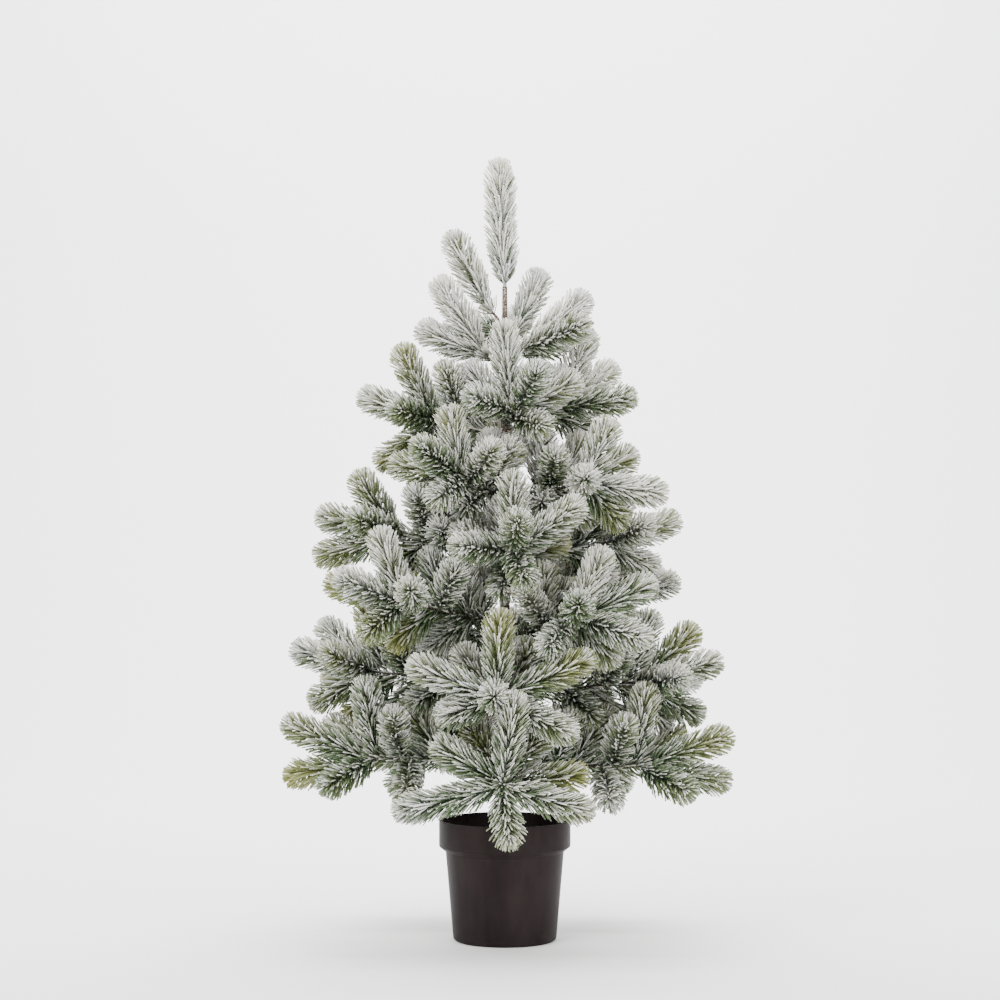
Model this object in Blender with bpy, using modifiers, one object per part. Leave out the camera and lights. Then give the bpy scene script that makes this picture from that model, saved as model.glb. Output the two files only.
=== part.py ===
"""Frosted artificial tabletop tree in a round plastic pot, built in metres with +Z up.

The origin is the middle of the pot's underside and -Y is the front. A taped steel trunk stands in
a cement weight inside the pot. Every branch is a wire hinged where it leaves the trunk's tape, and
carries its own spray of moulded needle tips.
"""
import math

import bmesh
import bpy
import numpy as np
from mathutils import Matrix, Quaternion, Vector

# Fits
CLEARANCE = 0.0003          # gap between pieces that touch on the real tree
BORE_PLAY = 0.0005          # room round a wire inside the spray it carries

# Pot
POT_HEIGHT = 0.138
POT_WALL = 0.0024
POT_FOOT_RADIUS = 0.0592
POT_NECK_RADIUS = 0.0680    # where the tapering body meets the rim band
POT_RIM_RADIUS = 0.0756
POT_RIM_BAND = 0.030        # straight band at the top
POT_RIM_STEP = 0.006        # sloping shoulder below the band
POT_CORNER = 0.0045         # rounding of the foot
POT_LIP = 0.0012            # rounding of the rim's top edge
POT_SIDES = 36

# Cement weight
CEMENT_DEPTH = 0.044        # its top, below the rim

# Trunk
ROD_RADIUS = 0.0020
ROD_SINK = 0.070            # length of the rod held in the cement
TAPE_FOOT_RADIUS = 0.0078
TAPE_TOP_RADIUS = 0.0029
TAPE_TOP = 0.612            # top of the tape, above the rim
TRUNK_SIDES = 12
TRUNK_LENGTHS = 8           # lengths the trunk is measured in when the tips are fitted round it
TAIL_RADIUS = 0.0019        # bound-in end of a branch wire, a ridge under the tape
TAIL_LENGTH = 0.016
TAIL_DROP = 0.0042          # from a branch's root down to the top of its ridge
TAIL_SUNK = 0.4             # depth of the ridge's lower end in the tape, as a share of its radius
TAIL_RISEN = 0.2            # the same for its upper end

# Branch wires
WIRE_RADIUS = 0.0014
WIRE_SIDES = 8
SLEEVE_WALL = 0.0028        # stems bound round the wire, outside the bore
SLEEVE_START = 0.010        # inner end of the sleeve, from the branch's root
SLEEVE_END = 0.005          # sleeve past the end of the wire
SLEEVE_TAPER = 0.8          # width of the sleeve's inner end, as a share of the full width

# Needle tips
TIP_RADIUS = 0.0185         # out to the points of the needles
TIP_SIDES = 5
TIP_SPIN = 0.37             # turn of each tip about itself, in radians, against its neighbour
TIP_FOOT = 0.42             # width of the foot, as a share of the full width
TIP_BELLY = 0.62            # where the tip is fullest, as a share of its length
TIP_CROWN = 0.75            # width of the blunt end's edge, as a share of the full width
TIP_BLUNT = 0.30            # depth of the blunt end, as a share of the radius
LEADER_HEIGHT = 0.630       # foot of the leader tip, above the rim
LEADER_LENGTH = 0.132
LEADER_SOCKET = 0.022       # depth the rod's end goes up into the leader
LEADER_PARTS = ((0.0, 0.3, 0.7), (0.3, 1.0, 1.0))   # from, to and share of the full width
FLUFF_ROUNDS = 40           # rounds of spreading the tips apart
FLUFF_RADIUS = 0.0165       # room each tip tries to keep round itself
FLUFF_HOME = 0.10           # pull back to the way the tip was first set
FLUFF_PUSH = 0.22           # share of each overlap undone in one round
FLUFF_SHARES = (0.40, 0.70, 1.0)    # where along a tip its room is measured
FLUFF_END = 0.6             # last place, back from the tip's end, in rooms
FLUFF_TRUNK = 1.6           # distance kept from the trunk's axis, in rooms
FLUFF_LEADER = (0.1, 0.4, 0.7, 1.0)  # where along the leader tip its room is measured

# Sprays: for each tip the distance of its foot back from the end of the wire, its turn to the
# left of the wire, its rise above the wire (both in degrees) and its length.
SPRAYS = {
    "front_hub": (
        (0.000, 4, -46, 0.082),
        (0.004, -84, -15, 0.126),
        (0.006, 78, -18, 0.108),
        (0.008, -4, 80, 0.110),
        (0.018, -84, 28, 0.094),
        (0.040, 82, 2, 0.098),
        (0.062, 60, 44, 0.084),
        (0.080, -44, 50, 0.084),
    ),
    "star": (
        (0.000, 4, 72, 0.104),
        (0.004, -80, 16, 0.110),
        (0.008, 76, 20, 0.122),
        (0.012, 62, -22, 0.108),
        (0.020, -62, -14, 0.078),
        (0.050, 58, 46, 0.086),
        (0.064, -58, 44, 0.084),
        (0.006, 8, 2, 0.072),
        (0.084, 10, 62, 0.082),
    ),
    "side_hub": (
        (0.000, 14, 17, 0.108),
        (0.006, 30, -16, 0.110),
        (0.008, -26, -20, 0.090),
        (0.012, -6, 74, 0.100),
        (0.020, 62, 18, 0.098),
        (0.052, -64, -20, 0.094),
        (0.040, -52, 44, 0.088),
        (0.090, 40, 60, 0.084),
        (0.108, -36, 56, 0.080),
    ),
    "low": (
        (0.000, 6, 4, 0.096),
        (0.010, 54, -10, 0.104),
        (0.020, -52, -6, 0.102),
        (0.006, -8, 58, 0.100),
        (0.004, 12, -36, 0.078),
        (0.050, 64, 26, 0.094),
        (0.062, -62, 24, 0.092),
        (0.090, 34, 62, 0.084),
        (0.108, -36, 58, 0.080),
    ),
    "side": (
        (0.000, 4, 10, 0.098),
        (0.006, -14, 24, 0.096),
        (0.010, 52, 4, 0.100),
        (0.008, -36, -10, 0.098),
        (0.020, 16, 60, 0.094),
        (0.006, -6, -32, 0.088),
        (0.048, 66, 34, 0.090),
        (0.056, -64, 30, 0.090),
        (0.084, 24, 62, 0.082),
        (0.104, -60, 34, 0.080),
        (0.064, 10, -56, 0.074),
        (0.092, 34, -40, 0.072),
        (0.030, -8, -42, 0.084),
    ),
    "full": (
        (0.000, 6, 2, 0.096),
        (0.010, 54, -8, 0.100),
        (0.020, -52, -6, 0.098),
        (0.006, -8, 56, 0.096),
        (0.004, 12, -42, 0.080),
        (0.048, 66, 30, 0.090),
        (0.056, -64, 28, 0.090),
        (0.082, 24, 60, 0.082),
        (0.070, -20, -44, 0.074),
        (0.104, -60, 34, 0.080),
        (0.112, 30, 58, 0.084),
    ),
    "spread": (
        (0.000, 14, -28, 0.100),
        (0.006, 56, 18, 0.104),
        (0.010, -38, 2, 0.092),
        (0.008, 20, 50, 0.092),
        (0.012, -70, -30, 0.080),
        (0.044, 72, -8, 0.086),
        (0.050, -74, 30, 0.086),
        (0.066, -20, 64, 0.080),
        (0.004, 44, -52, 0.072),
        (0.080, 58, 40, 0.078),
        (0.088, -24, -34, 0.078),
    ),
    "fan": (
        (0.000, -4, 6, 0.094),
        (0.010, 52, 12, 0.104),
        (0.018, -52, 0, 0.094),
        (0.006, 10, 54, 0.092),
        (0.004, -10, -38, 0.078),
        (0.044, 70, 32, 0.086),
        (0.054, -66, 28, 0.086),
        (0.068, -14, 62, 0.080),
        (0.050, -24, -46, 0.076),
        (0.078, 62, 10, 0.080),
    ),
    "wide_fan": (
        (0.000, -4, 6, 0.094),
        (0.010, 52, 12, 0.104),
        (0.018, -52, 0, 0.094),
        (0.006, 10, 54, 0.092),
        (0.004, -10, -38, 0.078),
        (0.044, 70, 32, 0.086),
        (0.054, -66, 28, 0.086),
        (0.068, -14, 62, 0.080),
        (0.050, 24, -42, 0.072),
        (0.078, 62, 10, 0.080),
        (0.100, -26, 60, 0.082),
        (0.106, 24, -40, 0.078),
    ),
    "left_fan": (
        (0.000, -4, 0, 0.092),
        (0.010, 52, 12, 0.098),
        (0.018, -52, 0, 0.094),
        (0.006, 10, 36, 0.090),
        (0.004, -10, -24, 0.102),
        (0.044, 60, 46, 0.092),
        (0.054, -60, 40, 0.092),
        (0.068, -14, 62, 0.080),
        (0.050, 24, -42, 0.072),
        (0.078, 62, 10, 0.080),
        (0.090, -20, 60, 0.082),
    ),
    "hand": (
        (0.000, 0, 4, 0.090),
        (0.010, 54, 2, 0.092),
        (0.016, -54, 6, 0.090),
        (0.006, 6, 54, 0.086),
        (0.004, -6, -36, 0.072),
        (0.040, 66, 38, 0.082),
        (0.048, -66, 34, 0.080),
        (0.050, -8, -40, 0.070),
        (0.062, -20, 66, 0.076),
    ),
    "back_hand": (
        (0.000, 0, 4, 0.090),
        (0.010, 54, 2, 0.092),
        (0.016, -54, 6, 0.090),
        (0.006, 6, 54, 0.086),
        (0.004, -6, -36, 0.072),
        (0.040, 66, 38, 0.082),
        (0.048, -66, 34, 0.080),
        (0.050, -8, -40, 0.070),
        (0.062, -20, 66, 0.076),
        (0.078, 60, 40, 0.084),
        (0.086, -60, 44, 0.080),
    ),
    "right_hand": (
        (0.000, 4, -24, 0.094),
        (0.010, 54, 14, 0.088),
        (0.016, -54, 6, 0.090),
        (0.006, 6, 54, 0.086),
        (0.004, -6, -48, 0.072),
        (0.040, 66, 38, 0.082),
        (0.048, -66, 34, 0.080),
        (0.050, 10, -40, 0.070),
        (0.062, -20, 66, 0.076),
        (0.074, 30, -50, 0.070),
        (0.060, -50, -20, 0.074),
    ),
    "front_posy": (
        (0.000, 4, 0, 0.086),
        (0.008, 56, 2, 0.086),
        (0.012, -56, 4, 0.086),
        (0.022, -10, 52, 0.114),
        (0.020, 16, -42, 0.072),
        (0.030, 70, 40, 0.084),
        (0.034, -68, 52, 0.088),
    ),
    "right_posy": (
        (0.000, 4, 8, 0.092),
        (0.008, 36, -18, 0.100),
        (0.012, -56, 4, 0.086),
        (0.004, 10, 38, 0.100),
        (0.020, 16, -42, 0.072),
        (0.030, 70, 40, 0.078),
        (0.034, -68, 40, 0.078),
    ),
    "left_posy": (
        (0.000, 4, 0, 0.094),
        (0.008, 56, 2, 0.086),
        (0.012, -56, 4, 0.086),
        (0.000, 6, 44, 0.096),
        (0.012, 10, -50, 0.098),
        (0.034, 64, 56, 0.094),
        (0.034, -68, 48, 0.084),
    ),
    "three": (
        (0.000, 10, 0, 0.096),
        (0.004, -24, -18, 0.102),
        (0.010, 66, -6, 0.080),
    ),
    "crown_back": (
        (0.000, 4, 4, 0.084),
        (0.010, -30, -20, 0.088),
        (0.014, -72, 0, 0.080),
    ),
    "left_pair": (
        (0.000, 4, 10, 0.106),
        (0.004, -10, -17, 0.090),
    ),
    "single": ((0.000, 0, 10, 0.102),),
}

# Branches: name, height of the root above the rim, compass angle (0 right, -90 front), rise of
# the wire, length of the wire, spray, hand (1 or -1 mirrors the spray) and roll about the wire.
BRANCHES = (
    ("tier1_front", 0.060, -91, -2, 0.146, "front_hub", 1, 0),
    ("tier1_right", 0.062, -20, 2, 0.160, "side_hub", 1, 4),
    ("tier1_back_right", 0.058, 52, 2, 0.160, "low", -1, -8),
    ("tier1_back_left", 0.063, 124, 0, 0.162, "low", 1, 10),
    ("tier1_left", 0.070, -160, 2, 0.156, "side_hub", -1, -4),
    ("tier2_front", 0.136, -94, 6, 0.122, "star", 1, 0),
    ("tier2_right", 0.144, -6, 6, 0.152, "side", -1, 8),
    ("tier2_back", 0.131, 86, 8, 0.146, "full", 1, -10),
    ("tier2_left", 0.154, 176, 6, 0.148, "side", 1, 6),
    ("tier3_front_right", 0.212, -50, 11, 0.122, "spread", 1, 0),
    ("tier3_back_right", 0.222, 38, 12, 0.146, "wide_fan", -1, 8),
    ("tier3_back_left", 0.206, 130, 12, 0.140, "wide_fan", 1, 0),
    ("tier3_front_left", 0.226, -142, 11, 0.144, "wide_fan", -1, 8),
    ("tier4_front", 0.292, -84, 14, 0.098, "fan", 1, 10),
    ("tier4_right", 0.302, 6, 8, 0.116, "hand", -1, -6),
    ("tier4_back", 0.286, 97, 16, 0.112, "back_hand", 1, 8),
    ("tier4_left", 0.312, -173, 8, 0.124, "left_fan", 1, -8),
    ("tier5_front_left", 0.370, -126, 17, 0.082, "hand", -1, 6),
    ("tier5_right", 0.372, -24, 8, 0.098, "right_hand", 1, 8),
    ("tier5_back", 0.382, 104, 24, 0.086, "hand", 1, -6),
    ("tier6_front", 0.446, -74, 28, 0.054, "front_posy", 1, 8),
    ("tier6_back_right", 0.448, 26, 24, 0.072, "right_posy", -1, 0),
    ("tier6_left", 0.440, 172, 16, 0.080, "left_posy", 1, -8),
    ("crown_right", 0.528, -14, 36, 0.026, "three", 1, 0),
    ("crown_left", 0.520, -166, 40, 0.024, "left_pair", 1, 0),
    ("crown_back", 0.548, 56, 46, 0.026, "crown_back", -1, 0),
    ("crown_upper_left", 0.572, 178, 50, 0.020, "single", 1, 0),
)


def srgb(red, green, blue):
    """Linear colour from everyday 0-255 values."""
    return tuple((c / 255) ** 2.2 for c in (red, green, blue)) + (1.0,)


def paint(name, colour, roughness, metallic=0.0):
    """A plain shaded material."""
    finish = bpy.data.materials.new(name)
    finish.use_nodes = True
    shader = finish.node_tree.nodes["Principled BSDF"]
    shader.inputs["Base Color"].default_value = colour
    shader.inputs["Roughness"].default_value = roughness
    shader.inputs["Metallic"].default_value = metallic
    return finish


def clear_scene():
    """Take away whatever the new file holds."""
    for thing in list(bpy.data.objects):
        bpy.data.objects.remove(thing, do_unlink=True)


def turned(name, outline, sides, home):
    """A round solid: the outline, read top to bottom, screwed about Z."""
    mesh = bpy.data.meshes.new(name)
    points = [(radius, 0.0, height) for radius, height in outline]
    mesh.from_pydata(points, [(i, i + 1) for i in range(len(points) - 1)], [])
    body = bpy.data.objects.new(name, mesh)
    home.objects.link(body)
    screw = body.modifiers.new("Turn", "SCREW")
    screw.axis = "Z"
    screw.steps = sides
    screw.render_steps = sides
    screw.use_merge_vertices = True
    screw.merge_threshold = 0.00001
    return body


def boolean(body, other, operation, crossing=False):
    """Join another solid to a body, or cut it out; crossing when that solid crosses itself."""
    step = body.modifiers.new(operation.title(), "BOOLEAN")
    step.operation = operation
    step.solver = "EXACT"
    step.object = other
    step.use_self = crossing
    other.hide_render = True
    other.display_type = "WIRE"


def settled(body):
    """A copy of a body's mesh with its turning and cutting done."""
    graph = bpy.context.evaluated_depsgraph_get()
    return bpy.data.meshes.new_from_object(body.evaluated_get(graph))


def gathered(name, bodies, home):
    """One object holding several crossing bodies, ready to be joined to another."""
    work = bmesh.new()
    for body in bodies:
        piece = settled(body)
        piece.transform(body.matrix_world)
        work.from_mesh(piece)
        bpy.data.meshes.remove(piece)
        bpy.data.objects.remove(body)
    mesh = bpy.data.meshes.new(name)
    work.to_mesh(mesh)
    work.free()
    group = bpy.data.objects.new(name, mesh)
    home.objects.link(group)
    return group


def fill_pockets(work):
    """Close the little air pockets sealed between crossing tips, so one skin is left."""
    waiting = set(work.faces)
    skins = []
    while waiting:
        rim = [waiting.pop()]
        skin = set(rim)
        while rim:
            around = {f for face in rim for edge in face.edges for f in edge.link_faces}
            rim = list(around - skin)
            skin |= around
        waiting -= skin
        skins.append(skin)
    outer = max(skins, key=len)
    inner = [face for skin in skins if skin is not outer for face in skin]
    bmesh.ops.delete(work, geom=inner, context="FACES")


def shade_round(body, angle=40):
    """Smooth shading over the round sides, crisp at the edges."""
    baked = settled(body)
    work = bmesh.new()
    work.from_mesh(baked)
    bmesh.ops.remove_doubles(work, verts=work.verts, dist=0.000002)
    fill_pockets(work)
    for face in work.faces:
        face.smooth = True
    for edge in work.edges:
        edge.smooth = edge.calc_face_angle(0.0) < math.radians(angle)
    work.to_mesh(baked)
    work.free()
    body.modifiers.clear()
    body.data = baked
    body.data.name = body.name


def tape_radius(height):
    """Radius of the taped trunk at a height above the rim."""
    share = min(max((height + CEMENT_DEPTH) / (TAPE_TOP + CEMENT_DEPTH), 0.0), 1.0)
    return TAPE_FOOT_RADIUS + (TAPE_TOP_RADIUS - TAPE_FOOT_RADIUS) * share


def branch_frame(row):
    """Root point of a branch and the wire's forward, left and up directions."""
    height, compass, rise = row[1:4]
    turn = Matrix.Rotation(math.radians(compass), 3, "Z")
    tilt = Matrix.Rotation(math.radians(-rise), 3, "Y")
    spin = Matrix.Rotation(math.radians(row[7]), 3, "X")
    frame = turn @ tilt @ spin
    out = tape_radius(height) + WIRE_RADIUS + CLEARANCE
    root = turn @ Vector((out, 0.0, 0.0)) + Vector((0.0, 0.0, POT_HEIGHT + height))
    return root, frame


def first_set(rows):
    """Foot, direction, length and branch number of every tip as the spray is wired up."""
    feet, ways, lengths, owners = [], [], [], []
    for number, row in enumerate(rows):
        root, frame = branch_frame(row)
        reach, spray, hand = row[4:7]
        for back, left, rise, length in SPRAYS[spray]:
            swing = Matrix.Rotation(math.radians(left * hand), 3, "Z")
            lift = Matrix.Rotation(math.radians(-rise), 3, "Y")
            feet.append(root + frame @ Vector((reach - back, 0.0, 0.0)))
            ways.append(frame @ swing @ lift @ Vector((1.0, 0.0, 0.0)))
            lengths.append(length)
            owners.append(number)
    return np.array(feet), np.array(ways), np.array(lengths), np.array(owners)


def fluffed(feet, ways, lengths):
    """The directions after the tips have been spread apart into the gaps between them."""
    shares = np.array(FLUFF_SHARES)
    owner = np.repeat(np.arange(len(feet)), len(shares))
    weight = np.tile(shares, len(feet))
    leader = np.array([(0.0, 0.0, POT_HEIGHT + LEADER_HEIGHT + LEADER_LENGTH * share)
                       for share in FLUFF_LEADER])
    apart = owner[:, None] != owner[None, :]
    now = ways.copy()
    for _ in range(FLUFF_ROUNDS):
        reach = (lengths[:, None] * shares - FLUFF_END * FLUFF_RADIUS)[:, :, None]
        dots = (feet[:, None] + now[:, None] * reach).reshape(-1, 3)
        gap = dots[:, None] - dots[None, :]
        far = np.linalg.norm(gap, axis=2) + 1e-9
        press = np.clip(2 * FLUFF_RADIUS - far, 0, None) * apart
        push = (gap / far[:, :, None] * press[:, :, None]).sum(axis=1)
        rim = np.hypot(dots[:, 0], dots[:, 1]) + 1e-9
        trunk = np.clip(FLUFF_TRUNK * FLUFF_RADIUS - rim, 0, None) / rim
        push[:, :2] += dots[:, :2] * trunk[:, None]
        lead = dots[:, None] - leader[None, :]
        off = np.linalg.norm(lead, axis=2) + 1e-9
        squeeze = np.clip(2 * FLUFF_RADIUS - off, 0, None)
        push += (lead / off[:, :, None] * squeeze[:, :, None]).sum(axis=1)
        moved = np.zeros_like(ways)
        np.add.at(moved, owner, push * weight[:, None])
        now = now + FLUFF_PUSH * moved / lengths[:, None] + FLUFF_HOME * (ways - now)
        now /= np.linalg.norm(now, axis=1)[:, None]
    return now


def nearest(start_a, run_a, start_b, run_b):
    """Shortest distance between straight pieces a and b, each an array of starts and runs."""
    aa = (run_a * run_a).sum(-1)
    ab = (run_a * run_b).sum(-1)
    bb = (run_b * run_b).sum(-1)
    between = start_a - start_b
    aw = (run_a * between).sum(-1)
    bw = (run_b * between).sum(-1)
    spread = np.maximum(aa * bb - ab * ab, 1e-18)
    s = np.clip((ab * bw - bb * aw) / spread, 0, 1)
    t = np.clip((ab * s + bw) / bb, 0, 1)
    s = np.clip((ab * t - aw) / aa, 0, 1)
    apart = between + s[..., None] * run_a - t[..., None] * run_b
    return np.linalg.norm(apart, axis=-1)


def tip_radii(feet, ways, lengths, owners, solids):
    """Radius each tip may have without pressing into another branch, the leader or the trunk."""
    parts = ((0.0, 0.2), (0.2, 0.45), (0.45, 1.0))
    width = [TIP_FOOT + (1 - TIP_FOOT) * min(end / TIP_BELLY, 1.0) for start, end in parts]
    starts = np.concatenate([feet + ways * (lengths * a)[:, None] for a, b in parts])
    runs = np.concatenate([ways * (lengths * (b - a))[:, None] for a, b in parts])
    tip = np.tile(np.arange(len(feet)), len(parts))
    wide = np.repeat(width, len(feet))
    room = np.full(len(feet), TIP_RADIUS)
    for i in range(len(starts)):
        others = owners[tip] != owners[tip[i]]
        gap = nearest(starts[i], runs[i], starts[others], runs[others]) - CLEARANCE
        room[tip[i]] = min(room[tip[i]], (gap / (wide[i] + wide[others])).min())
        for owner, start, run, radius in solids:
            if owner != owners[tip[i]]:
                off = nearest(starts[i], runs[i], start, run) - radius - CLEARANCE
                room[tip[i]] = min(room[tip[i]], off / wide[i])
    return room


def fixed_solids():
    """Owner, start, run and radius of the straight things the tips have to keep clear of."""
    up = np.array((0.0, 0.0, 1.0))
    solids = []
    for number, row in enumerate(BRANCHES):
        root, frame = branch_frame(row)
        run = np.array(frame @ Vector((row[4] + SLEEVE_END, 0.0, 0.0)))
        solids.append((number, np.array(root), run, WIRE_RADIUS + BORE_PLAY + SLEEVE_WALL))
    heights = np.linspace(0.0, LEADER_HEIGHT, TRUNK_LENGTHS + 1)
    for low, high in zip(heights[:-1], heights[1:]):
        radius = tape_radius(low) + TAIL_RADIUS
        solids.append((None, up * (POT_HEIGHT + low), up * (high - low), radius))
    for low, high, share in LEADER_PARTS:
        start = up * (POT_HEIGHT + LEADER_HEIGHT + low * LEADER_LENGTH)
        solids.append((None, start, up * LEADER_LENGTH * (high - low), share * TIP_RADIUS))
    return solids


def tip_outline(length, radius):
    """Half the section of a tip: blunt at its end, fullest past its middle, slim at its foot."""
    return (
        (0.0, length),
        (TIP_CROWN * radius, length - TIP_BLUNT * radius),
        (radius, TIP_BELLY * length),
        (TIP_FOOT * radius, 0.0),
        (0.0, 0.0),
    )


def aim(body, start, way, spin=0.0):
    """Stand a body that was turned about Z on a point, pointing a given way and spun about it."""
    body.location = start
    stand = Vector(way).to_track_quat("Z", "Y") @ Quaternion((0.0, 0.0, 1.0), spin)
    body.rotation_euler = stand.to_euler()


def rod_outline(length, radius):
    """A round wire with a rounded lower end whose centre is at height zero."""
    return (
        (0.0, length),
        (radius, length),
        (radius, 0.0),
        (radius * math.sqrt(0.5), -radius * math.sqrt(0.5)),
        (0.0, -radius),
    )


def build_pot(home, finish):
    """Injection-moulded pot: tapering body, sloping shoulder and a straight rim band."""
    shoulder = POT_HEIGHT - POT_RIM_BAND
    neck = shoulder - POT_RIM_STEP
    slope = (POT_NECK_RADIUS - POT_FOOT_RADIUS) / neck
    pot = turned("pot", (
        (0.0, POT_WALL),
        (POT_FOOT_RADIUS - POT_WALL - POT_CORNER, POT_WALL),
        (POT_FOOT_RADIUS - POT_WALL, POT_WALL + POT_CORNER),
        (POT_NECK_RADIUS - POT_WALL, neck),
        (POT_RIM_RADIUS - POT_WALL, shoulder + 0.5 * POT_WALL),
        (POT_RIM_RADIUS - POT_WALL, POT_HEIGHT - POT_LIP / 2),
        (POT_RIM_RADIUS - POT_WALL + POT_LIP / 2, POT_HEIGHT),
        (POT_RIM_RADIUS - POT_LIP, POT_HEIGHT),
        (POT_RIM_RADIUS, POT_HEIGHT - POT_LIP),
        (POT_RIM_RADIUS, shoulder),
        (POT_NECK_RADIUS, neck),
        (POT_FOOT_RADIUS + slope * POT_CORNER, POT_CORNER),
        (POT_FOOT_RADIUS - 0.3 * POT_CORNER, 0.3 * POT_CORNER),
        (POT_FOOT_RADIUS - POT_CORNER, 0.0),
        (0.0, 0.0),
    ), POT_SIDES, home)
    pot.data.materials.append(finish)
    shade_round(pot, 30)


def build_cement(home, finish, cutters):
    """Cement weight cast in the pot round the foot of the trunk rod."""
    top = POT_HEIGHT - CEMENT_DEPTH
    neck = POT_HEIGHT - POT_RIM_BAND - POT_RIM_STEP
    slope = (POT_NECK_RADIUS - POT_FOOT_RADIUS) / (neck - POT_WALL - POT_CORNER)
    inside = POT_FOOT_RADIUS - POT_WALL - 2 * CLEARANCE
    low = POT_WALL + CLEARANCE
    cement = turned("cement_weight", (
        (0.0, top),
        (inside + slope * (top - low - POT_CORNER), top),
        (inside, low + POT_CORNER),
        (inside - POT_CORNER, low),
        (0.0, low),
    ), POT_SIDES, home)
    hole = turned("cut_rod_hole", (
        (0.0, POT_HEIGHT),
        (ROD_RADIUS + CLEARANCE * 2, POT_HEIGHT),
        (ROD_RADIUS + CLEARANCE * 2, top - ROD_SINK - CLEARANCE),
        (0.0, top - ROD_SINK - CLEARANCE),
    ), TRUNK_SIDES, cutters)
    boolean(cement, hole, "DIFFERENCE")
    cement.data.materials.append(finish)
    shade_round(cement)


def build_rod(home, finish):
    """Steel rod from the cement up into the leader tip."""
    foot = POT_HEIGHT - CEMENT_DEPTH - ROD_SINK
    top = POT_HEIGHT + LEADER_HEIGHT + LEADER_SOCKET
    rod = turned("trunk_rod", (
        (0.0, top),
        (ROD_RADIUS, top),
        (ROD_RADIUS, foot),
        (0.0, foot),
    ), TRUNK_SIDES, home)
    rod.data.materials.append(finish)
    shade_round(rod)


def build_tape(home, finish, cutters):
    """Brown tape wound round the rod over the bound-in ends of the branch wires."""
    foot = POT_HEIGHT - CEMENT_DEPTH + CLEARANCE
    top = POT_HEIGHT + TAPE_TOP
    tape = turned("trunk_tape", (
        (0.0, top),
        (TAPE_TOP_RADIUS, top),
        (TAPE_FOOT_RADIUS, foot),
        (0.0, foot),
    ), TRUNK_SIDES, home)
    ridges = []
    for row in BRANCHES:
        height, compass = row[1:3]
        turn = Matrix.Rotation(math.radians(compass), 3, "Z")
        over = height - TAIL_DROP
        under = over - TAIL_LENGTH
        low = tape_radius(under) - TAIL_SUNK * TAIL_RADIUS
        high = tape_radius(over) - TAIL_RISEN * TAIL_RADIUS
        start = turn @ Vector((low, 0.0, POT_HEIGHT + under))
        end = turn @ Vector((high, 0.0, POT_HEIGHT + over))
        run = end - start
        ridge = turned("ridge_" + row[0], (
            (0.0, run.length),
            (TAIL_RADIUS, run.length - TAIL_RADIUS / 2),
            (TAIL_RADIUS, 0.0),
            (0.0, 0.0),
        ), TIP_SIDES, cutters)
        aim(ridge, start, run)
        ridges.append(ridge)
    bpy.context.view_layer.update()
    boolean(tape, gathered("tape_ridges", ridges, cutters), "UNION", crossing=True)
    bore = turned("cut_tape_bore", (
        (0.0, POT_HEIGHT + LEADER_HEIGHT),
        (ROD_RADIUS + CLEARANCE, POT_HEIGHT + LEADER_HEIGHT),
        (ROD_RADIUS + CLEARANCE, 0.0),
        (0.0, 0.0),
    ), TRUNK_SIDES, cutters)
    boolean(tape, bore, "DIFFERENCE")
    tape.data.materials.append(finish)
    shade_round(tape)


def build_leader(home, finish, cutters):
    """Upright tip at the very top, pushed down over the rod's end."""
    leader = turned("leader_tip", tip_outline(LEADER_LENGTH, TIP_RADIUS), 2 * TIP_SIDES, home)
    leader.location = (0.0, 0.0, POT_HEIGHT + LEADER_HEIGHT)
    socket = turned("cut_leader_socket", (
        (0.0, LEADER_SOCKET + CLEARANCE),
        (ROD_RADIUS + BORE_PLAY, LEADER_SOCKET + CLEARANCE),
        (ROD_RADIUS + BORE_PLAY, -LEADER_SOCKET),
        (0.0, -LEADER_SOCKET),
    ), TRUNK_SIDES, cutters)
    socket.location = leader.location
    bpy.context.view_layer.update()
    boolean(leader, socket, "DIFFERENCE")
    leader.data.materials.append(finish)
    shade_round(leader, 60)


def build_branch(row, tips, home, paints, cutters):
    """One hinged wire and the spray of tips bound to its outer part."""
    name, reach = row[0], row[4]
    root, frame = branch_frame(row)
    forward = frame @ Vector((1.0, 0.0, 0.0))
    wire = turned(name + "_branch_wire", rod_outline(reach, WIRE_RADIUS),
                  WIRE_SIDES, home)
    aim(wire, root, forward)
    wire.data.materials.append(paints[0])

    bore_radius = WIRE_RADIUS + BORE_PLAY
    sleeve_radius = bore_radius + SLEEVE_WALL
    sleeve_length = reach + SLEEVE_END - SLEEVE_START
    sleeve = turned(name + "_branch_tips", (
        (0.0, sleeve_length),
        (sleeve_radius, sleeve_length - SLEEVE_END / 2),
        (sleeve_radius, SLEEVE_END / 2),
        (SLEEVE_TAPER * sleeve_radius, 0.0),
        (0.0, 0.0),
    ), WIRE_SIDES, home)
    aim(sleeve, root + forward * SLEEVE_START, forward)
    bodies = []
    for number, (foot, way, length, radius) in enumerate(tips):
        tip = turned("tip", tip_outline(length, radius), TIP_SIDES, cutters)
        aim(tip, foot, way, TIP_SPIN * (number + 1))
        bodies.append(tip)
    bpy.context.view_layer.update()
    boolean(sleeve, gathered(name + "_tips", bodies, cutters), "UNION", crossing=True)
    bore = turned("cut_" + name, (
        (0.0, reach + CLEARANCE * 2),
        (bore_radius, reach + CLEARANCE * 2),
        (bore_radius, 0.0),
        (0.0, 0.0),
    ), WIRE_SIDES, cutters)
    aim(bore, root, forward)
    bpy.context.view_layer.update()
    boolean(sleeve, bore, "DIFFERENCE")
    sleeve.data.materials.append(paints[1])
    shade_round(wire)
    shade_round(sleeve, 60)


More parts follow.
